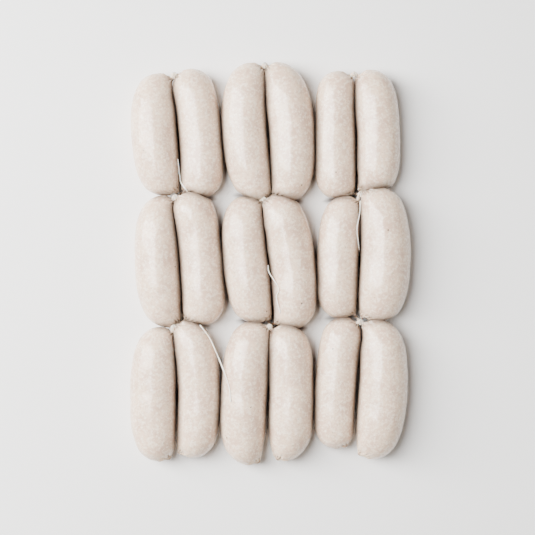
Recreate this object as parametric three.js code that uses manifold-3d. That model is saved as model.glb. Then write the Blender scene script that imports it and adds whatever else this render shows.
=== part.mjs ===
// A string of pale sausage links in doubled casing: pairs that follow each other from knot to
// knot, laid flat in three runs of three pairs. Millimetres, +Z up, +Y towards the first pairs.
import * as THREE from "three";
import { mergeVertices } from "three/addons/utils/BufferGeometryUtils.js";
import Module from "manifold-3d";

const wasm = await Module();
wasm.setup();

// How a filled link lies.
const HEIGHT_SHARE = 0.94; // its height, as a share of its width
const BED = 0.7; // how deep its soft underside is pressed flat
const GAP = 0.4; // left between faces that touch
const LIFT_REACH = 0.5; // the share of its length over which a raised head comes down
const MOST_PRESSED = 0.7; // how far towards its centre a neighbour may press its side in
const PRESS_STEPS = 22;

// How a link's mesh is divided.
const SIDES = 20;
const RINGS = 13;
const SMALL_STEP = 0.001; // along a link, to measure a slope
const BALLS = 48; // balls along a link, whose hull stands for its free shape

// The twisted casing.
const TIP_SPACING = 2.6; // between the two tips of a pair, across their notch
const MOST_TURN = Math.PI / 4; // how far a tip turns towards the other link of its pair
const HEAD_REACH = 0.6; // how far a tip is drawn out of its round end
const TAIL_REACH = 1.2;
const TWIST_RADIUS = 0.95;
const NUB_RADIUS = 1.4; // of the ball in which a knot's strands meet
const BOW_REACH = 2.4; // how far a knot's bow stands out of the notch
const BOW_RISE = 1.6;
const NECK_RADIUS = 0.8; // of the casing that comes from the tails of the pair before
const NECK_DIP = 5; // how far it sinks in the hollow between the links
const TWIST_SIDES = 5;
const TWIST_STEPS = 4;
const THREAD_RADIUS = 0.42;
const THREAD_SIDES = 5;
const THREAD_STEPS = 15;
const THREAD_LOW = 16; // a thread starts no lower than this, out of the cleft between four links
const THREAD_SLACK = 60; // passes that lift a thread over the clefts between links
const REST_TOLERANCE = 0.001;
const WELD = 0.001; // corners this close are one

// Seen from above, for each link: the ends and the middle of its centre line, its thickness at
// the middle, how full its two ends are, how high its head rides on the link before it, and how much
// thicker it is towards its head than towards its tail. A last pair says how far the free tips of
// its tails lean to each other, in radians.
function link(head, middle, tail, thickness, [headFullness, tailFullness], lift, taper = 0) {
  return { head, middle, tail, thickness, headFullness, tailFullness, lift, taper };
}

const PAIRS = [
  {
    name: "r1p1",
    left: link([-70.1, 118.2], [-71.9, 80.6], [-65.9, 42.8], 28.5, [3.2, 3.7], 0.4),
    right: link([-50.9, 119.8], [-43.2, 81.2], [-43.5, 41.3], 26.9, [7, 6.4], 0.6),
  },
  {
    name: "r1p2",
    left: link([-11.5, 124.7], [-16.1, 82.5], [-6.7, 39.4], 27.9, [3.9, 4.2], 0.5),
    right: link([4.3, 124.8], [13.7, 81.8], [10.7, 39.3], 28.4, [3.7, 4.2], 0.4),
  },
  {
    name: "r1p3",
    left: link([41.5, 119.1], [40.3, 80.6], [41.5, 41.2], 25.2, [8, 6], 0.5, -0.14),
    right: link([62, 119.7], [67.3, 81.2], [64.5, 43.4], 27, [5, 4.6], 0.4),
  },
  {
    name: "r2p1",
    left: link([-68.5, 43], [-70.2, 1.9], [-64.6, -38.9], 27.6, [3, 3.7], 1),
    right: link([-49.9, 44.3], [-42.8, 3.7], [-41.6, -37.1], 26.8, [8, 6.8], 3),
  },
  {
    name: "r2p2",
    left: link([-15, 42.3], [-15.3, 3.1], [-8.3, -36.4], 27.9, [4.4, 4.6], 1.2),
    right: link([3.2, 42.4], [13.7, 1.9], [14, -39.8], 28.5, [5, 5.2], 2.8),
  },
  {
    name: "r2p3",
    left: link([47, 42.3], [42.2, 4.3], [42.9, -33.2], 26, [4.8, 5.4], 1.2),
    right: link([66.4, 48.2], [71.6, 6.2], [65.9, -35.2], 30.7, [3.8, 4.8], 3, -0.03),
  },
  {
    name: "r3p1",
    left: link([-67.9, -39.1], [-72.7, -80.6], [-69.1, -121.2], 28.3, [4, 4.6], 0.8),
    right: link([-52.4, -35.3], [-43.9, -77.5], [-48.4, -119.4], 26.4, [4.6, 5.4], 2.6),
    freeLeans: [0.6, 0.78],
  },
  {
    name: "r3p2",
    left: link([-9.9, -35.7], [-16.2, -80], [-15, -123.6], 29, [4.8, 4.1], 2),
    right: link([9.1, -37.9], [13.4, -79.4], [9.9, -120.8], 27.9, [6, 4.6], 1.8),
    freeLeans: [0.6, 0.47],
  },
  {
    name: "r3p3",
    left: link([46.6, -34], [40.8, -73.8], [40.8, -112.9], 25.4, [7, 8], 1, 0.04),
    right: link([67.2, -33.6], [70.3, -77.5], [63.2, -119.8], 29.8, [3.6, 4.4], 1.4),
    freeLeans: [0.49, 0.73],
  },
];
const PAIRS_IN_ROW = 3;
const UP = new THREE.Vector3(0, 0, 1);
const LINKS = PAIRS.flatMap((pair) => [pair.left, pair.right]);

// Thin strings of casing that lie over the links, seen from above.
const THREADS = {
  thread_1: [[-50.8, 44.6], [-54.9, 50.2], [-55.8, 54.6], [-56.4, 58.3], [-57, 65.1]],
  thread_2: [[55.9, 39.3], [55.5, 32.2], [53.7, 22], [54.6, 12.4], [55.7, 5]],
  thread_3: [[-1.2, -0.6], [-0.3, -5.6], [5.4, -14.9], [4, -20.5], [6.4, -30.4]],
  thread_4: [[-43.4, -37.5], [-37.2, -45.9], [-31, -59.5], [-25.4, -74.4], [-23.9, -84.9]],
};

const MEAT = new THREE.MeshStandardMaterial({ color: 0xe0d2c6, roughness: 0.42, metalness: 0 });
const CASING = new THREE.MeshStandardMaterial({ color: 0xe9ddcc, roughness: 0.35, metalness: 0 });

// The free shape of a link.

function spineHeight(one) {
  return (one.thickness / 2) * HEIGHT_SHARE - BED;
}

function lengthOf(one) {
  return Math.hypot(one.head[0] - one.tail[0], one.head[1] - one.tail[1]);
}

// The bowed line through head, middle and tail, with the head raised and without turned tips.
function plainCentre(one, s) {
  const at = (i) => {
    const control = 2 * one.middle[i] - (one.head[i] + one.tail[i]) / 2;
    return (1 - s) ** 2 * one.head[i] + 2 * s * (1 - s) * control + s ** 2 * one.tail[i];
  };
  const rise = one.lift * Math.max(0, 1 - s / LIFT_REACH) ** 2;
  return new THREE.Vector3(at(0), at(1), spineHeight(one) + rise);
}

function endShare(one) {
  return one.thickness / 2 / lengthOf(one);
}

function core(one, s) {
  const share = endShare(one);
  return plainCentre(one, THREE.MathUtils.clamp(s, share, 1 - share));
}

function intoEnd(one, s) {
  const share = endShare(one);
  return Math.max(0, share - s, s - 1 + share) / share;
}

// How far the centre line has turned at s: not at all between the round ends, and over each
// round end steadily up to the turn of its tip.
function turned(one, s) {
  const whole = s < 0.5 ? one.headTurn : one.tailTurn;
  return (whole * Math.asin(Math.min(1, intoEnd(one, s))) * 2) / Math.PI;
}

function centre(one, s) {
  const from = core(one, s);
  const drawn = s < 0.5 ? -HEAD_REACH : TAIL_REACH;
  return plainCentre(one, s)
    .sub(from)
    .applyAxisAngle(UP, turned(one, s))
    .add(from)
    .addScaledVector(heading(one, s), drawn * intoEnd(one, s) ** 2);
}

function heading(one, s) {
  const along = plainCentre(one, s + SMALL_STEP).sub(plainCentre(one, s - SMALL_STEP)).normalize();
  return along.applyAxisAngle(UP, turned(one, s));
}

function fullRadius(one, s) {
  return (one.thickness / 2) * (1 + one.taper * (0.5 - s));
}

function squaredRadius(one, s) {
  const fullness = s < 0.5 ? one.headFullness : one.tailFullness;
  return fullRadius(one, s) ** 2 * (1 - Math.abs(2 * s - 1) ** fullness);
}

function radius(one, s) {
  return Math.sqrt(Math.max(0, squaredRadius(one, s)));
}

// Balls that touch the free shape from inside, each around a point of the centre line.
function ballsOf(one) {
  const balls = [];
  for (let i = 0; i <= BALLS; i++) {
    const s = (1 - Math.cos((Math.PI * i) / BALLS)) / 2;
    const rise = squaredRadius(one, s + SMALL_STEP) - squaredRadius(one, s - SMALL_STEP);
    const most = Math.sqrt(fullRadius(one, s) ** 2 - radius(one, s) ** 2);
    const slope = rise / (4 * SMALL_STEP * lengthOf(one));
    const steep = THREE.MathUtils.clamp(slope, -most, most);
    const at = s + steep / lengthOf(one);
    balls.push({ place: centre(one, at), radius: Math.hypot(radius(one, s), steep) });
  }
  return balls;
}

// Signed distance from a point to a link's free shape, with heights stretched back to round.
function distance(one, point) {
  let least = Infinity;
  for (const ball of one.balls) {
    const across = Math.hypot(point.x - ball.place.x, point.y - ball.place.y);
    const up = (point.z - ball.place.z) / HEIGHT_SHARE;
    least = Math.min(least, Math.hypot(across, up) - ball.radius);
  }
  return least;
}

// Seen from above, both tips at an end of a pair turn to the notch where the round ends meet,
// unless the tails are the last ones, which are free.
function turnTips(pair) {
  for (const [end, s] of [["head", 0], ["tail", 1]]) {
    const cores = [core(pair.left, s), core(pair.right, s)];
    const half = (cores[1].x - cores[0].x - TIP_SPACING) / 2;
    [pair.left, pair.right].forEach((one, i) => {
      const whole = Math.asin(Math.min(1, half / (one.thickness / 2)));
      const free = end === "tail" && pair.freeLeans;
      const lean = free ? pair.freeLeans[i] : Math.min(MOST_TURN, whole);
      const inward = i === 0 ? 1 : -1;
      const outward = end === "head" ? 1 : -1;
      const axis = plainCentre(one, s).sub(cores[i]);
      const target = Math.atan2(outward * Math.cos(lean), inward * Math.sin(lean));
      one[end + "Turn"] = target - Math.atan2(axis.y, axis.x);
      one[end + "Tip"] = centre(one, s);
    });
  }
}

// A vertex gives way to every neighbour, and to the surface underneath.
function pressed(one, vertex, inside) {
  const clearance = (point) => {
    const own = distance(one, point);
    return Math.min(...one.neighbours.map((other) => distance(other, point) - own));
  };
  const place = vertex.clone();
  if (clearance(place) < GAP) {
    let near = 0;
    let far = MOST_PRESSED;
    for (let i = 0; i < PRESS_STEPS; i++) {
      const share = (near + far) / 2;
      place.lerpVectors(vertex, inside, share);
      if (clearance(place) < GAP) near = share;
      else far = share;
    }
  }
  place.z = Math.max(place.z, 0);
  return place;
}

function linkGeometry(one) {
  const positions = [];
  const triangles = [];
  const add = (vertex, s) => {
    positions.push(...pressed(one, vertex, core(one, s)).toArray());
  };
  add(centre(one, 0), 0);
  for (let ring = 1; ring <= RINGS; ring++) {
    const s = (1 - Math.cos((Math.PI * ring) / (RINGS + 1))) / 2;
    const along = heading(one, s);
    const sideways = new THREE.Vector3().crossVectors(along, UP).normalize();
    const upright = new THREE.Vector3().crossVectors(sideways, along);
    for (let side = 0; side < SIDES; side++) {
      const angle = (2 * Math.PI * (side + 0.5)) / SIDES + Math.PI / 2;
      const vertex = centre(one, s)
        .addScaledVector(sideways, radius(one, s) * Math.cos(angle))
        .addScaledVector(upright, radius(one, s) * HEIGHT_SHARE * Math.sin(angle));
      add(vertex, s);
    }
  }
  add(centre(one, 1), 1);
  const last = RINGS * SIDES + 1;
  for (let side = 0; side < SIDES; side++) {
    const next = (side + 1) % SIDES;
    triangles.push(0, 1 + side, 1 + next);
    for (let ring = 0; ring < RINGS - 1; ring++) {
      const a = 1 + ring * SIDES;
      const b = a + SIDES;
      triangles.push(a + side, b + side, a + next, a + next, b + side, b + next);
    }
    triangles.push(last, last - SIDES + next, last - SIDES + side);
  }
  const geometry = new THREE.BufferGeometry();
  geometry.setAttribute("position", new THREE.Float32BufferAttribute(positions, 3));
  geometry.setIndex(triangles);
  geometry.computeVertexNormals();
  return geometry;
}

// Joining and cutting.

function solidFrom(geometry) {
  const bare = geometry.clone();
  bare.deleteAttribute("normal");
  bare.deleteAttribute("uv");
  const merged = mergeVertices(bare, WELD);
  return new wasm.Manifold(
    new wasm.Mesh({
      numProp: 3,
      vertProperties: merged.attributes.position.array,
      triVerts: new Uint32Array(merged.index.array),
    }),
  );
}

function geometryFrom(solid) {
  const mesh = solid.getMesh();
  const geometry = new THREE.BufferGeometry();
  geometry.setAttribute("position", new THREE.BufferAttribute(mesh.vertProperties, 3));
  geometry.setIndex(new THREE.BufferAttribute(mesh.triVerts, 1));
  geometry.computeVertexNormals();
  return geometry;
}

function grown(geometry, amount) {
  const larger = geometry.clone();
  const { position, normal } = larger.attributes;
  for (let i = 0; i < position.count; i++) {
    position.setXYZ(
      i,
      position.getX(i) + normal.getX(i) * amount,
      position.getY(i) + normal.getY(i) * amount,
      position.getZ(i) + normal.getZ(i) * amount,
    );
  }
  return larger;
}

// Twisted casing.

function tube(points, tubeRadius, sides, steps) {
  const section = new THREE.Shape();
  for (let i = 0; i < sides; i++) {
    const angle = (2 * Math.PI * i) / sides;
    const corner = [tubeRadius * Math.cos(angle), tubeRadius * Math.sin(angle)];
    if (i === 0) section.moveTo(...corner);
    else section.lineTo(...corner);
  }
  section.closePath();
  const path = new THREE.CatmullRomCurve3(points, false, "centripetal");
  return new THREE.ExtrudeGeometry(section, {
    steps,
    extrudePath: path,
    bevelEnabled: false,
  });
}

function twist(points, twistRadius) {
  return solidFrom(tube(points, twistRadius, TWIST_SIDES, TWIST_STEPS));
}

// The knot of a pair: a bow between its two heads with a nub in the middle, and the two necks that
// come from the tails of the pair before it, if there is one.
function knotGeometry(pair, before) {
  const from = pair.left.headTip;
  const to = pair.right.headTip;
  const crown = from.clone().add(to).multiplyScalar(0.5);
  crown.y += BOW_REACH;
  crown.z += BOW_RISE;
  const shoulder = new THREE.Vector3(TWIST_RADIUS, 0, 0);
  const below = crown.clone().setY(crown.y - TWIST_RADIUS);
  const bow = [from, below.clone().sub(shoulder), crown, below.clone().add(shoulder), to];
  const nub = new THREE.IcosahedronGeometry(NUB_RADIUS).translate(...below.toArray());
  let knot = twist(bow, TWIST_RADIUS).add(solidFrom(nub));
  const around = [pair.left, pair.right];
  if (before) {
    for (const one of [before.left, before.right]) {
      const bend = one.tailTip.clone().add(below).divideScalar(2);
      bend.z -= NECK_DIP;
      knot = knot.add(twist([one.tailTip, bend, below], NECK_RADIUS));
      around.push(one);
    }
  }
  for (const one of around) {
    knot = knot.subtract(solidFrom(grown(one.geometry, GAP)));
  }
  const pieces = knot.decompose().sort((a, b) => b.volume() - a.volume());
  return geometryFrom(pieces[0]);
}

// A thread comes down on the links from above, and spans the clefts between them.
function threadGeometry(route) {
  const seen = new THREE.CatmullRomCurve3(route.map(([x, y]) => new THREE.Vector3(x, y, 0)));
  const points = seen.getSpacedPoints(THREAD_STEPS);
  const clear = THREAD_RADIUS + GAP;
  const floor = [];
  for (const point of points) {
    point.z = Math.max(...LINKS.map((one) => one.thickness)) * 2;
    let above = Infinity;
    while (above > REST_TOLERANCE && point.z > THREAD_LOW) {
      above = Math.min(...LINKS.map((one) => distance(one, point))) - clear;
      point.z -= above * HEIGHT_SHARE;
    }
    floor.push(point.z);
  }
  for (let pass = 0; pass < THREAD_SLACK; pass++) {
    for (let i = 1; i < points.length - 1; i++) {
      const taut = (points[i - 1].z + points[i + 1].z) / 2;
      points[i].z = Math.max(floor[i], taut);
    }
  }
  return tube(points, THREAD_RADIUS, THREAD_SIDES, THREAD_STEPS);
}

// The whole string.

const laid = new THREE.Group();

function addPiece(name, geometry, material) {
  const mesh = new THREE.Mesh(geometry, material);
  mesh.name = name;
  laid.add(mesh);
}

PAIRS.forEach(turnTips);
for (const one of LINKS) {
  one.balls = ballsOf(one);
}
for (const one of LINKS) {
  const near = (other) =>
    Math.hypot(one.middle[0] - other.middle[0], one.middle[1] - other.middle[1]) <
    lengthOf(one) + one.thickness;
  one.neighbours = LINKS.filter((other) => other !== one && near(other));
  one.geometry = linkGeometry(one);
}
PAIRS.forEach((pair, i) => {
  addPiece(`link_${pair.name}_left`, pair.left.geometry, MEAT);
  addPiece(`link_${pair.name}_right`, pair.right.geometry, MEAT);
  addPiece(`knot_${pair.name}`, knotGeometry(pair, PAIRS[i - PAIRS_IN_ROW]), CASING);
});
for (const [name, route] of Object.entries(THREADS)) {
  addPiece(name, threadGeometry(route), CASING);
}

// The origin is under the middle of the whole, on the surface that it rests on.
const bounds = new THREE.Box3().setFromObject(laid);
const middle = bounds.getCenter(new THREE.Vector3());
laid.position.set(-middle.x, -middle.y, -bounds.min.z);

const sausageString = new THREE.Group();
sausageString.add(laid);
export default sausageString;
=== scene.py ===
"""A string of pale sausage links in doubled casing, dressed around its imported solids. Metres, +Z up."""

import math

import bmesh
import bpy
import numpy as np
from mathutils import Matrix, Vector, noise
from mathutils.bvhtree import BVHTree


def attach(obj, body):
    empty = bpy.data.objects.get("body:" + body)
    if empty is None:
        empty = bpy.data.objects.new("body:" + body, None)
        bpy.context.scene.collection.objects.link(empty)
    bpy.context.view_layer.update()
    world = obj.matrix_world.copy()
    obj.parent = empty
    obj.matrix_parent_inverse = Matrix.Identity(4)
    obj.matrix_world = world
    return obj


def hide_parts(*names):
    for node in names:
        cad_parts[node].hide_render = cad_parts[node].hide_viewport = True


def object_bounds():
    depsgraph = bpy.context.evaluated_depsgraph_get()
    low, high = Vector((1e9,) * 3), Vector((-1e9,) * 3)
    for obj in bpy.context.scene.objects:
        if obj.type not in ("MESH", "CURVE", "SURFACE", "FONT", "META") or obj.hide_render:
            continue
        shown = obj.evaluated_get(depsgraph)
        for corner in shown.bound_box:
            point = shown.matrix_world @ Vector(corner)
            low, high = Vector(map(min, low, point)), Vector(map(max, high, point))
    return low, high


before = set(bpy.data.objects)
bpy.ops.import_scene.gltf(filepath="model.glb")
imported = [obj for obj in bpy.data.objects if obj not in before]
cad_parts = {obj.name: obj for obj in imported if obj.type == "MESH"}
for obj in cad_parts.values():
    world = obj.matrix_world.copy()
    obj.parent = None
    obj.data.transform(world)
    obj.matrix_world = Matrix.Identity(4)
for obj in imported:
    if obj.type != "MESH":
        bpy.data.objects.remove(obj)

solid_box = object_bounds()
MM = 0.001

# How finely a link's skin is divided, and how much closer the corners of its solid weld.
COLUMNS = 96
ROWS = 150
WELD = 1e-6

# The relief of a link's skin, as (size of the waves, their height).
SOFT_DENTS = (15 * MM, 0.42 * MM)
LUMPS = (4.6 * MM, 0.07 * MM)
GRAIN = (1.7 * MM, 0.025 * MM)
SEED_STEP = 1.7

# The relief of its tips: puckers near the tip that fade into long folds, a rim around the
# gathered end, and the nipple in its middle.
TIP_REACH = 25 * MM
PUCKERS = 11
SIDE_PUCKERS = 17
SIDE_SHARE = 0.5
PUCKER_HEIGHT = 0.45 * MM
PUCKER_PLACE = 3.1 * MM
PUCKER_REACH = 2.4 * MM
PUCKER_WANDER = (6 * MM, 1.6)
WANDER_TURN = 3
FOLD_SHARE = 0.45
FOLD_REACH = 9 * MM
FOLD_START = 2 * MM
NIPPLE_HEIGHT = 1.3 * MM
NIPPLE_REACH = 1.5 * MM
RIM_DEPTH = 0.55 * MM
RIM_PLACE = 2.6 * MM
RIM_REACH = 1.2 * MM

# Where links lie so close to each other that shade is painted on their skins, and how far
# apart their middles are at most.
CLEFT_REACH = 10 * MM
NEIGHBOUR_REACH = 105 * MM

# The floor: its width, its finer middle, and how near two links have to be to shade a gap, or
# three of them a hole, measured at the height where the links are widest. The shade fades where
# the floor can be seen from the side, which is tried in so many directions at these rises.
FLOOR_WIDTH = 4.0
FLOOR_STEP = 1.2 * MM
FLOOR_MARGIN = 10 * MM
WIDEST_AT = 13 * MM
GAP_REACH = 4.2 * MM
HOLE_REACH = 7 * MM
GAP_DEPTH = 1.5
FLOOR_LOOK = 0.5 * MM
SIDE_LOOKS = 16
SIDE_RISES = (0.15, 0.45)
HIDDEN_FROM = 0.8

# Twisted casing: its lobes, how deep they are as a share of its radius, and its turns a metre.
ROPE_SIDES = 18
SLANTED = (0.3, 0.2, 1.0)
ROPE_PINCH = 0.35
ROPE_WAVES = (2.4 * MM, 0.18)
FLAT_TURN = 0.2
TWIST_RADIUS = 0.95 * MM
TWIST_TURNS = 230
TWIST_LOBES = 3
TWIST_DEPTH = 0.22
TWIST_STEPS = 40
BOW_REACH = 2.4 * MM
BOW_RISE = 1.6 * MM
NUB_RADIUS = 1.2 * MM
NUB_REACH = 1.9 * MM
NUB_LOBES = 4
NUB_DEPTH = 0.16
NUB_STEPS = 16
NUB_SIDES = 24
NECK_RADIUS = 0.8 * MM
NECK_DIP = 5 * MM
SUNK_REACH = 3.5 * MM

# The loose threads, which are flat strands that hang over the clefts. The lift is a share of
# the radius.
THREAD_RADIUS = 0.42 * MM
THREAD_TURNS = 60
THREAD_LOBES = 2
THREAD_DEPTH = 0.15
THREAD_FLATNESS = 0.75
THREAD_SIDES = 12
THREAD_STEPS = 90
THREAD_LOW = 16 * MM
THREAD_LIFT = 0.95
SAG_PASSES = 1500
ABOVE_ALL = 100 * MM

# Their routes seen from above, in millimetres, as the solids have them before the whole string
# is shifted onto its origin.
ORIGIN_SHIFT = (-0.04, -0.21)
THREADS = {
    "thread_1": [(-50.8, 44.6), (-54.9, 50.2), (-55.8, 54.6), (-56.4, 58.3), (-57, 65.1)],
    "thread_2": [(55.9, 39.3), (55.5, 32.2), (53.7, 22), (54.6, 12.4), (55.7, 5)],
    "thread_3": [(-1.2, -0.6), (-0.3, -5.6), (5.4, -14.9), (4, -20.5), (6.4, -30.4)],
    "thread_4": [(-43.4, -37.5), (-37.2, -45.9), (-31, -59.5), (-25.4, -74.4), (-23.9, -84.9)],
}

# The camera looks straight down on the middle of the photograph.
VIEW_CENTRE = (-1.59 * MM, -2.38 * MM, 13 * MM)
VIEW_WIDTH = 331.7 * MM
LENS = 130
SENSOR = 36

# The lamps, as (place, size, watts, colour), and the sky.
KEY_LAMP = ((-0.73, 0.2, 0.9), (0.58, 1.5), 74, (1.0, 0.99, 0.975))
FILL_LAMP = ((0.95, -0.1, 0.9), (0.9, 1.5), 2, (1.0, 0.98, 0.95))
SKY_COLOUR = (1, 0.99, 0.97, 1)
SKY_STRENGTH = 0.12


def new_object(name, mesh):
    made = bpy.data.objects.new(name, mesh)
    bpy.context.scene.collection.objects.link(made)
    return made


def mesh_from(name, points, faces):
    mesh = bpy.data.meshes.new(name)
    mesh.from_pydata([tuple(p) for p in points], [], faces)
    mesh.validate()
    mesh.polygons.foreach_set("use_smooth", [True] * len(mesh.polygons))
    return mesh


def wrapped_faces(rows, columns):
    """Faces of a closed skin: one point at each end, and between them rings of so many columns."""
    faces = []
    last = (rows - 1) * columns + 1
    for c in range(columns):
        d = (c + 1) % columns
        faces.append((0, 1 + c, 1 + d))
        for r in range(rows - 2):
            a = 1 + r * columns
            faces.append((a + c, a + columns + c, a + columns + d, a + d))
        faces.append((last, last - columns + d, last - columns + c))
    return faces


def facing_out(mesh):
    shape = bmesh.new()
    shape.from_mesh(mesh)
    bmesh.ops.recalc_face_normals(shape, faces=shape.faces)
    shape.to_mesh(mesh)
    shape.free()


# Links

def corner_rings(node):
    """The corners of a link's solid: its head tip, the rings in order, and its tail tip."""
    shape = bmesh.new()
    shape.from_mesh(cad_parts[node].data)
    bmesh.ops.remove_doubles(shape, verts=shape.verts, dist=WELD)
    most = max(len(v.link_edges) for v in shape.verts)
    head = max((v for v in shape.verts if len(v.link_edges) == most), key=lambda v: v.co.y)
    seen = {head}
    layers = [[head]]
    while layers[-1]:
        reached = {e.other_vert(v) for v in layers[-1] for e in v.link_edges} - seen
        seen |= reached
        layers.append(sorted(reached, key=lambda v: v.index))
    layers.pop()
    rings = []
    for layer in layers[1:-1]:
        rest = set(layer)
        at = layer[0]
        ring = []
        while at:
            rest.discard(at)
            ring.append(tuple(at.co))
            onward = sorted((e.other_vert(at) for e in at.link_edges), key=lambda v: v.index)
            at = next((v for v in onward if v in rest), None)
        ring = np.array(ring)
        rings.append(lined_up(ring, rings[-1]) if rings else ring)
    ends = [np.array(layers[0][0].co), np.array(layers[-1][0].co)]
    shape.free()
    return ends[0], np.array(rings), ends[1]


def lined_up(ring, before):
    """The same ring, started and turned so that its corners follow those of the ring before."""
    def shape_of(points):
        centred = points - points.mean(0)
        return centred / np.linalg.norm(centred, axis=1).mean()

    choices = [np.roll(way, k, axis=0) for way in (ring, ring[::-1]) for k in range(len(ring))]
    return min(choices, key=lambda c: np.sum((shape_of(c) - shape_of(before)) ** 2))


def smooth_between(values, places):
    """Values at places between the rows of an array that has one row more at either end.

    They follow a smooth curve through all the rows, a Catmull-Rom spline.
    """
    i = np.minimum(places.astype(int), len(values) - 4)
    f = (places - i)[:, None, None]
    a, b, c, d = (values[i + k] for k in range(4))
    return 0.5 * (
        2 * b + (c - a) * f + (2 * a - 5 * b + 4 * c - d) * f**2 + (3 * b - a - 3 * c + d) * f**3
    )


def fine_grid(head, rings, tail):
    """A smooth fine grid through a link's corners, from tip to tip and all the way round."""
    half = rings.shape[1] // 2
    one = np.ones((1, rings.shape[1], 1))
    rows = np.concatenate([
        np.roll(rings[:1], half, axis=1),
        head * one,
        rings,
        tail * one,
        np.roll(rings[-1:], half, axis=1),
    ])
    along = smooth_between(rows, np.linspace(0, len(rows) - 3, ROWS + 1))
    around = along.transpose(1, 0, 2)
    around = np.concatenate([around[-1:], around, around[:2]])
    places = np.arange(COLUMNS) * rings.shape[1] / COLUMNS
    return smooth_between(around, places).transpose(1, 0, 2)


def wave(point, kind, seed):
    size, height = kind
    return height * noise.noise(Vector(point) / size + Vector((seed, 2 * seed, 3 * seed)))


def tip_relief(to_tip, angle, point, seed):
    """Puckers that run to a tip, the rim around them, and the gathered end of the casing."""
    size, strength = PUCKER_WANDER
    wander = strength * noise.noise(Vector(point) / size + Vector((seed, 0, 0)))
    folds = math.cos(PUCKERS * angle + WANDER_TURN * wander)
    folds += SIDE_SHARE * math.cos(SIDE_PUCKERS * angle + seed)
    near = math.exp(-(((to_tip - PUCKER_PLACE) / PUCKER_REACH) ** 2))
    far = FOLD_SHARE * math.exp(-((to_tip / FOLD_REACH) ** 2)) * min(1, to_tip / FOLD_START)
    nipple = NIPPLE_HEIGHT * math.exp(-((to_tip / NIPPLE_REACH) ** 2))
    rim = RIM_DEPTH * math.exp(-(((to_tip - RIM_PLACE) / RIM_REACH) ** 2))
    return PUCKER_HEIGHT * folds * (near + far) + nipple - rim


def link_skin(node, seed):
    """A link's fine skin with its relief. Returns it with the head and tail tips of its solid."""
    head, rings, tail = corner_rings(node)
    grid = fine_grid(head, rings, tail)
    inner = grid[1:-1]
    points = np.concatenate([grid[:1, 0], inner.reshape(-1, 3), grid[-1:, 0]])
    mesh = mesh_from(node + "_skin", points, wrapped_faces(ROWS, COLUMNS))
    facing_out(mesh)
    normals = np.zeros(len(points) * 3)
    mesh.vertices.foreach_get("normal", normals)
    normals = normals.reshape(-1, 3)
    steps = np.linalg.norm(np.diff(grid, axis=0), axis=2).mean(1)
    reach = np.concatenate([[0], np.cumsum(steps)])
    to_head = np.concatenate([[0], np.repeat(reach[1:-1], COLUMNS), [reach[-1]]])
    to_tail = reach[-1] - to_head
    for i, (point, normal) in enumerate(zip(points, normals)):
        angle = 2 * math.pi * ((i - 1) % COLUMNS) / COLUMNS
        to_tip = min(to_head[i], to_tail[i])
        rise = sum(wave(point, kind, seed) for kind in (SOFT_DENTS, LUMPS, GRAIN))
        if to_tip < TIP_REACH:
            rise += tip_relief(to_tip, angle, point, seed)
        points[i] = point + normal * rise
        points[i][2] = max(points[i][2], 0)
    mesh.vertices.foreach_set("co", points.ravel())
    for name, values in (("to_head", to_head), ("to_tail", to_tail)):
        mesh.attributes.new(name, "FLOAT", "POINT").data.foreach_set("value", values)
    mesh.update()
    skin = new_object(node + "_skin", mesh)
    skin.data.materials.append(MEAT)
    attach(skin, "root")
    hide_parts(node)
    return skin, head, tail


# Casing

def fine_path(points, steps):
    """A smooth path through points, in so many steps."""
    ends = [2 * points[0] - points[1], 2 * points[-1] - points[-2]]
    rows = np.array([ends[0], *points, ends[1]])[:, None, :]
    return smooth_between(rows, np.linspace(0, len(points) - 1, steps + 1))[:, 0]


def rope_mesh(path, radius, turns, lobes, depth, flatness=1.0, sides=ROPE_SIDES):
    """A twisted rope along a fine path: (points, faces), closed with a pinched point at each end."""
    along = np.gradient(path, axis=0)
    along /= np.linalg.norm(along, axis=1)[:, None]
    reach = np.concatenate([[0], np.cumsum(np.linalg.norm(np.diff(path, axis=0), axis=1))])
    across = np.cross(along[0], SLANTED)
    points = [path[0]]
    for i in range(1, len(path) - 1):
        across = across - along[i] * np.dot(across, along[i])
        across /= np.linalg.norm(across)
        beside = np.cross(along[i], across)
        to_end = min(reach[i], reach[-1] - reach[i])
        full = radius * min(1, ROPE_PINCH + to_end / (2 * radius))
        full *= 1 + ROPE_WAVES[1] * noise.noise(Vector(path[i]) / ROPE_WAVES[0])
        for k in range(sides):
            angle = 2 * math.pi * k / sides
            spin = 2 * math.pi * turns * reach[i]
            lobe = 1 + depth * math.cos(lobes * angle + spin)
            turned = angle + FLAT_TURN * spin
            wide = full * lobe * (flatness + (1 - flatness) * math.cos(turned) ** 2)
            points.append(path[i] + wide * (math.cos(angle) * across + math.sin(angle) * beside))
    points.append(path[-1])
    return points, wrapped_faces(len(path) - 1, sides)


def casing_piece(name, ropes, node, sunk_from=0, whiteness=0):
    """Ropes joined to one piece.

    It is marked with its whiteness, and where it sinks into the hollow below a given height to take
    painted shade.
    """
    points = []
    faces = []
    for more_points, more_faces in ropes:
        start = len(points)
        points += list(more_points)
        faces += [tuple(start + i for i in face) for face in more_faces]
    mesh = mesh_from(name, points, faces)
    facing_out(mesh)
    sunk = [min(1, max(0, (sunk_from - v.co.z) / SUNK_REACH)) for v in mesh.vertices]
    mesh.attributes.new("sunk", "FLOAT", "POINT").data.foreach_set("value", sunk)
    white = [whiteness] * len(mesh.vertices)
    mesh.attributes.new("white", "FLOAT", "POINT").data.foreach_set("value", white)
    piece = new_object(name, mesh)
    piece.data.materials.append(CASING)
    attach(piece, "root")
    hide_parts(node)
    return piece


def twist(points, radius):
    path = fine_path(points, TWIST_STEPS)
    return rope_mesh(path, radius, TWIST_TURNS, TWIST_LOBES, TWIST_DEPTH)


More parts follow.
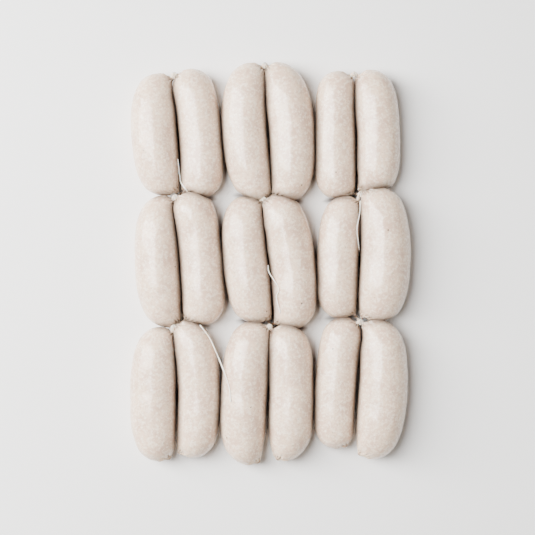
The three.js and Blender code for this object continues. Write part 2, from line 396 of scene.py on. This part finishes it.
def knot(pair, tips, before):
    """The bow between a pair's heads with its nub, and the necks from the tails before it."""
    left, right = tips[pair + "_left"][0], tips[pair + "_right"][0]
    crown = (left + right) / 2 + (0, BOW_REACH, BOW_RISE)
    below = crown - (0, TWIST_RADIUS, 0)
    shoulder = np.array((TWIST_RADIUS, 0, 0))
    ropes = [twist([left, below - shoulder, crown, below + shoulder, right], TWIST_RADIUS)]
    nub = fine_path([below - (0, NUB_REACH, 0), below, below + (0, NUB_REACH, 0)], NUB_STEPS)
    ropes.append(rope_mesh(nub, NUB_RADIUS, TWIST_TURNS, NUB_LOBES, NUB_DEPTH, sides=NUB_SIDES))
    if before:
        for side in ("_left", "_right"):
            tip = tips[before + side][1]
            bend = (tip + below) / 2 - (0, 0, NECK_DIP)
            ropes.append(twist([tip, bend, below], NECK_RADIUS))
    return casing_piece("knot_" + pair + "_twist", ropes, "knot_" + pair, left[2])


def thread(name, route, surface):
    """A strand that lies on the links and spans the clefts between them."""
    plan = fine_path([np.array((x, y, 0.0)) for x, y in route], THREAD_STEPS)
    path = (plan + (*ORIGIN_SHIFT, 0)) * MM
    for point in path:
        hit = surface.ray_cast(Vector((point[0], point[1], ABOVE_ALL)), Vector((0, 0, -1)))[0]
        point[2] = hit.z if hit else 0
    lowest = path[:, 2].copy()
    lowest[0] = max(lowest[0], THREAD_LOW)
    path[0, 2] = lowest[0]
    for _ in range(SAG_PASSES):
        path[1:-1, 2] = np.maximum(lowest[1:-1], (path[:-2, 2] + path[2:, 2]) / 2)
    path[:, 2] += THREAD_LIFT * THREAD_RADIUS
    rope = rope_mesh(
        path, THREAD_RADIUS, THREAD_TURNS, THREAD_LOBES, THREAD_DEPTH, THREAD_FLATNESS, THREAD_SIDES
    )
    return casing_piece(name + "_strand", [rope], name, whiteness=1)


def tree_of(pieces):
    """A search tree of the surfaces of several pieces."""
    shape = bmesh.new()
    for piece in pieces:
        shape.from_mesh(piece.data)
    tree = BVHTree.FromBMesh(shape)
    shape.free()
    return tree


def mark_clefts(skins):
    """Gives each skin's points their closeness to the nearest other link, from 0 to 1: where shade is
    painted in the clefts.
    """
    trees = [tree_of([skin]) for skin in skins]
    middles = [sum((Vector(c) for c in skin.bound_box), Vector()) / 8 for skin in skins]
    for skin, middle in zip(skins, middles):
        near = [
            tree for tree, other in zip(trees, middles)
            if 0 < (other - middle).length < NEIGHBOUR_REACH
        ]
        closeness = []
        for vertex in skin.data.vertices:
            found = [tree.find_nearest(vertex.co, CLEFT_REACH)[3] for tree in near]
            distance = min((d for d in found if d is not None), default=CLEFT_REACH)
            closeness.append(1 - distance / CLEFT_REACH)
        skin.data.attributes.new("cleft", "FLOAT", "POINT").data.foreach_set("value", closeness)


# Materials

class Nodes:
    """A material's node tree, with short calls to add and join its nodes."""

    def __init__(self, name):
        self.material = bpy.data.materials.new(name)
        self.material.use_nodes = True
        self.tree = self.material.node_tree
        self.shader = self.tree.nodes["Principled BSDF"]
        place = self.tree.nodes.new("ShaderNodeTexCoord")
        self.place = place.outputs["Object"]

    def node(self, kind, **settings):
        made = self.tree.nodes.new(kind)
        for key, value in settings.items():
            setattr(made, key, value)
        return made

    def join(self, source, target):
        self.tree.links.new(source, target)

    def noise(self, size, detail=3.0, roughness=0.5):
        """Cloudy noise, around a half, with clouds of about this size."""
        made = self.node("ShaderNodeTexNoise")
        made.inputs["Scale"].default_value = 1 / size
        made.inputs["Detail"].default_value = detail
        made.inputs["Roughness"].default_value = roughness
        self.join(self.place, made.inputs["Vector"])
        return made.outputs["Fac"]

    def cells(self, size):
        """The distance to the nearest cell's middle, and a random number for that cell."""
        made = self.node("ShaderNodeTexVoronoi")
        made.inputs["Scale"].default_value = 1 / size
        self.join(self.place, made.inputs["Vector"])
        parts = self.node("ShaderNodeSeparateColor")
        self.join(made.outputs["Color"], parts.inputs["Color"])
        return made.outputs["Distance"], parts.outputs["Red"]

    def ramp(self, value, low, high):
        """0 below low, 1 above high, eased between. The other way round if low is above high."""
        made = self.node("ShaderNodeMapRange", interpolation_type="SMOOTHSTEP")
        rising = low < high
        made.inputs["From Min"].default_value = min(low, high)
        made.inputs["From Max"].default_value = max(low, high)
        made.inputs["To Min"].default_value = 0 if rising else 1
        made.inputs["To Max"].default_value = 1 if rising else 0
        self.join(value, made.inputs["Value"])
        return made.outputs["Result"]

    def times(self, a, b):
        made = self.node("ShaderNodeMath", operation="MULTIPLY")
        for value, socket in ((a, made.inputs[0]), (b, made.inputs[1])):
            if isinstance(value, (int, float)):
                socket.default_value = value
            else:
                self.join(value, socket)
        return made.outputs[0]

    def mixed(self, share, a, b):
        """Colour a with that share of colour b laid over it."""
        made = self.node("ShaderNodeMix", data_type="RGBA")
        self.join(share, made.inputs["Factor"])
        for value, socket in ((a, made.inputs[6]), (b, made.inputs[7])):
            if isinstance(value, tuple):
                socket.default_value = (*value, 1)
            else:
                self.join(value, socket)
        return made.outputs[2]

    def attribute(self, name):
        made = self.node("ShaderNodeAttribute", attribute_name=name)
        return made.outputs["Fac"]

    def bump(self, height, distance, strength, under=None):
        made = self.node("ShaderNodeBump")
        made.inputs["Distance"].default_value = distance
        made.inputs["Strength"].default_value = strength
        self.join(height, made.inputs["Height"])
        if under:
            self.join(under, made.inputs["Normal"])
        return made.outputs["Normal"]

    def set(self, **values):
        for name, value in values.items():
            self.shader.inputs[name.replace("_", " ")].default_value = value


def meat_material():
    made = Nodes("meat")
    cream = (0.81, 0.61, 0.44)
    pink = (0.66, 0.45, 0.33)
    fat = (0.93, 0.81, 0.67)
    # the colour of the painted shade in the clefts between links
    cleft = (0.085, 0.06, 0.047)
    mouth = (0.30, 0.17, 0.10)
    herb = (0.45, 0.39, 0.27)
    pepper = (0.10, 0.06, 0.04)
    tan = (0.66, 0.50, 0.35)

    # Wide soft patches, then the mottling of fat and lean meat under the skin.
    base = made.mixed(made.ramp(made.noise(9 * MM, 3), 0.38, 0.66), cream, pink)
    for colour, size, low, high, share in (
        (fat, 2.1 * MM, 0.46, 0.6, 0.75),
        (pink, 1.3 * MM, 0.5, 0.62, 0.85),
    ):
        clouds = made.ramp(made.noise(size, 5, 0.7), low, high)
        base = made.mixed(made.times(clouds, share), base, colour)

    # Round bits of fat, herb and pepper: the size of their cells, where a bit begins and is full
    # as shares of that size, which of the cells hold one, and how strong it is.
    for colour, size, rim, core, low, high, share in (
        (fat, 2.3 * MM, 0.42, 0.22, 0.7, 0.78, 0.6),
        (herb, 3.6 * MM, 0.2, 0.1, 0.78, 0.82, 0.55),
        (pepper, 11 * MM, 0.065, 0.035, 0.5, 0.51, 0.95),
    ):
        near, pick = made.cells(size)
        bits = made.times(made.ramp(near, rim, core), made.ramp(pick, low, high))
        base = made.mixed(made.times(bits, share), base, colour)

    # The ends are browner, and the tail's gathered end is darkest.
    for end, reach, full, share, colour in (
        ("to_tail", 15 * MM, 1 * MM, 0.5, tan),
        ("to_head", 9 * MM, 1 * MM, 0.35, tan),
        ("to_tail", 1.6 * MM, 0.7 * MM, 0.7, mouth),
    ):
        tint = made.times(made.ramp(made.attribute(end), reach, full), share)
        base = made.mixed(tint, base, colour)

    # Painted shade in the clefts between links, darkest along the links' middles.
    shade = made.ramp(made.attribute("cleft"), 0.1, 1)
    shade = made.times(shade, shade)
    middle = made.times(
        made.ramp(made.attribute("to_head"), 6 * MM, 30 * MM),
        made.ramp(made.attribute("to_tail"), 6 * MM, 30 * MM),
    )
    base = made.mixed(made.times(shade, 0.72), base, cleft)
    base = made.mixed(made.times(made.times(shade, middle), 0.6), base, cleft)
    made.join(base, made.shader.inputs["Base Color"])
    rough = made.node("ShaderNodeMapRange")
    rough.inputs["To Min"].default_value = 0.34
    rough.inputs["To Max"].default_value = 0.5
    made.join(made.noise(5 * MM), rough.inputs["Value"])
    made.join(rough.outputs["Result"], made.shader.inputs["Roughness"])
    fine = made.bump(made.noise(0.7 * MM, 3), 0.03 * MM, 0.5)
    lumps = made.bump(made.noise(2.4 * MM, 4, 0.6), 0.08 * MM, 0.6, fine)
    made.join(lumps, made.shader.inputs["Normal"])
    made.set(Subsurface_Weight=0.2, Subsurface_Scale=0.002, Coat_Weight=0.8, Coat_Roughness=0.15)
    made.set(Subsurface_Radius=(1.0, 0.8, 0.65), IOR=1.42)
    return made.material


def casing_material():
    made = Nodes("casing")
    pale = (0.80, 0.69, 0.57)
    amber = (0.64, 0.49, 0.36)
    dry = (0.98, 0.89, 0.77)
    hollow_shade = (0.16, 0.10, 0.065)
    base = made.mixed(made.ramp(made.noise(1.4 * MM, 3), 0.4, 0.68), pale, amber)
    base = made.mixed(made.attribute("white"), base, dry)
    # Painted shade where the casing sinks into the hollows between the links.
    base = made.mixed(made.attribute("sunk"), base, hollow_shade)
    made.join(base, made.shader.inputs["Base Color"])
    wrinkles = made.bump(made.noise(0.5 * MM, 3), 0.06 * MM, 0.6)
    made.join(wrinkles, made.shader.inputs["Normal"])
    made.set(Roughness=0.36, Subsurface_Weight=0.35, Subsurface_Scale=0.002, Coat_Weight=0.3)
    made.set(Subsurface_Radius=(1.0, 0.6, 0.35), Coat_Roughness=0.2)
    return made.material


def floor_material():
    made = Nodes("floor")
    pale = (0.87, 0.87, 0.865)
    paler = (0.9, 0.9, 0.895)
    shade = (0.07, 0.05, 0.042)
    base = made.mixed(made.noise(120 * MM, 2), pale, paler)
    # Painted shade on the floor in the narrow gaps and holes between the links.
    base = made.mixed(made.attribute("gap"), base, shade)
    made.join(base, made.shader.inputs["Base Color"])
    made.set(Roughness=0.7)
    return made.material


# Stage

def hidden_share(place, surface):
    """How many of the looks from a place on the floor to the side meet a link, from 0 to 1."""
    met = 0
    for look in range(SIDE_LOOKS):
        turn = 2 * math.pi * look / SIDE_LOOKS
        for rise in SIDE_RISES:
            way = Vector((math.cos(turn), math.sin(turn), rise))
            met += surface.ray_cast(place, way)[0] is not None
    return met / (SIDE_LOOKS * len(SIDE_RISES))


def floor(skins, surface):
    """A wide plane, finer under the links, that is shaded in the narrow gaps between them."""
    sides = []
    for low, high in zip(solid_box[0][:2], solid_box[1][:2]):
        count = round((high - low + 2 * FLOOR_MARGIN) / FLOOR_STEP)
        middle = np.linspace(low - FLOOR_MARGIN, high + FLOOR_MARGIN, count)
        sides.append([-FLOOR_WIDTH / 2, *middle, FLOOR_WIDTH / 2])
    columns, rows = sides
    wide = len(columns)
    points = [(x, y, 0) for y in rows for x in columns]
    faces = [
        (a, a + 1, a + wide + 1, a + wide)
        for r in range(len(rows) - 1) for a in range(r * wide, (r + 1) * wide - 1)
    ]
    mesh = mesh_from("floor", points, faces)
    trees = [tree_of([skin]) for skin in skins]
    shades = []
    for x, y, _ in points:
        place = Vector((x, y, WIDEST_AT))
        found = [tree.find_nearest(place, HOLE_REACH)[3] for tree in trees]
        near = sorted(d for d in found if d is not None)
        pairs = zip(near[1:3], (GAP_REACH, HOLE_REACH))
        shade = min(1, max((GAP_DEPTH * (1 - d / reach) for d, reach in pairs), default=0))
        if shade > 0:
            hidden = hidden_share(Vector((x, y, FLOOR_LOOK)), surface)
            shade *= min(1, max(0, (hidden - HIDDEN_FROM) / (1 - HIDDEN_FROM)))
        shades.append(max(0, shade))
    mesh.attributes.new("gap", "FLOAT", "POINT").data.foreach_set("value", shades)
    made = new_object("floor", mesh)
    made.data.materials.append(floor_material())


def lamp(name, place, size, power, colour):
    """A rectangular lamp that faces the origin."""
    data = bpy.data.lights.new(name, "AREA")
    data.shape = "RECTANGLE"
    data.size, data.size_y = size
    data.energy = power
    data.color = colour
    made = bpy.data.objects.new(name, data)
    bpy.context.scene.collection.objects.link(made)
    made.location = place
    made.rotation_euler = (-Vector(place)).to_track_quat("-Z", "Y").to_euler()


def lights():
    lamp("key", *KEY_LAMP)
    lamp("fill", *FILL_LAMP)
    world = bpy.data.worlds.new("sky")
    world.use_nodes = True
    sky = world.node_tree.nodes["Background"]
    sky.inputs["Color"].default_value = SKY_COLOUR
    sky.inputs["Strength"].default_value = SKY_STRENGTH
    bpy.context.scene.world = world


def camera():
    data = bpy.data.cameras.new("camera")
    data.lens = LENS
    data.sensor_width = SENSOR
    made = bpy.data.objects.new("camera", data)
    bpy.context.scene.collection.objects.link(made)
    x, y, z = VIEW_CENTRE
    made.location = (x, y, z + VIEW_WIDTH * LENS / SENSOR)
    bpy.context.scene.camera = made


camera()
lights()
MEAT = meat_material()
CASING = casing_material()

link_nodes = sorted(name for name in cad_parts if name.startswith("link_"))
tips = {}
skins = []
for number, node in enumerate(link_nodes):
    skin, head, tail = link_skin(node, SEED_STEP * number)
    skins.append(skin)
    tips[node.removeprefix("link_")] = (head, tail)

mark_clefts(skins)
surface = tree_of(skins)
floor(skins, surface)

for row in (1, 2, 3):
    for column in (1, 2, 3):
        before = f"r{row - 1}p{column}" if row > 1 else None
        knot(f"r{row}p{column}", tips, before)

for name, route in THREADS.items():
    thread(name, route, surface)
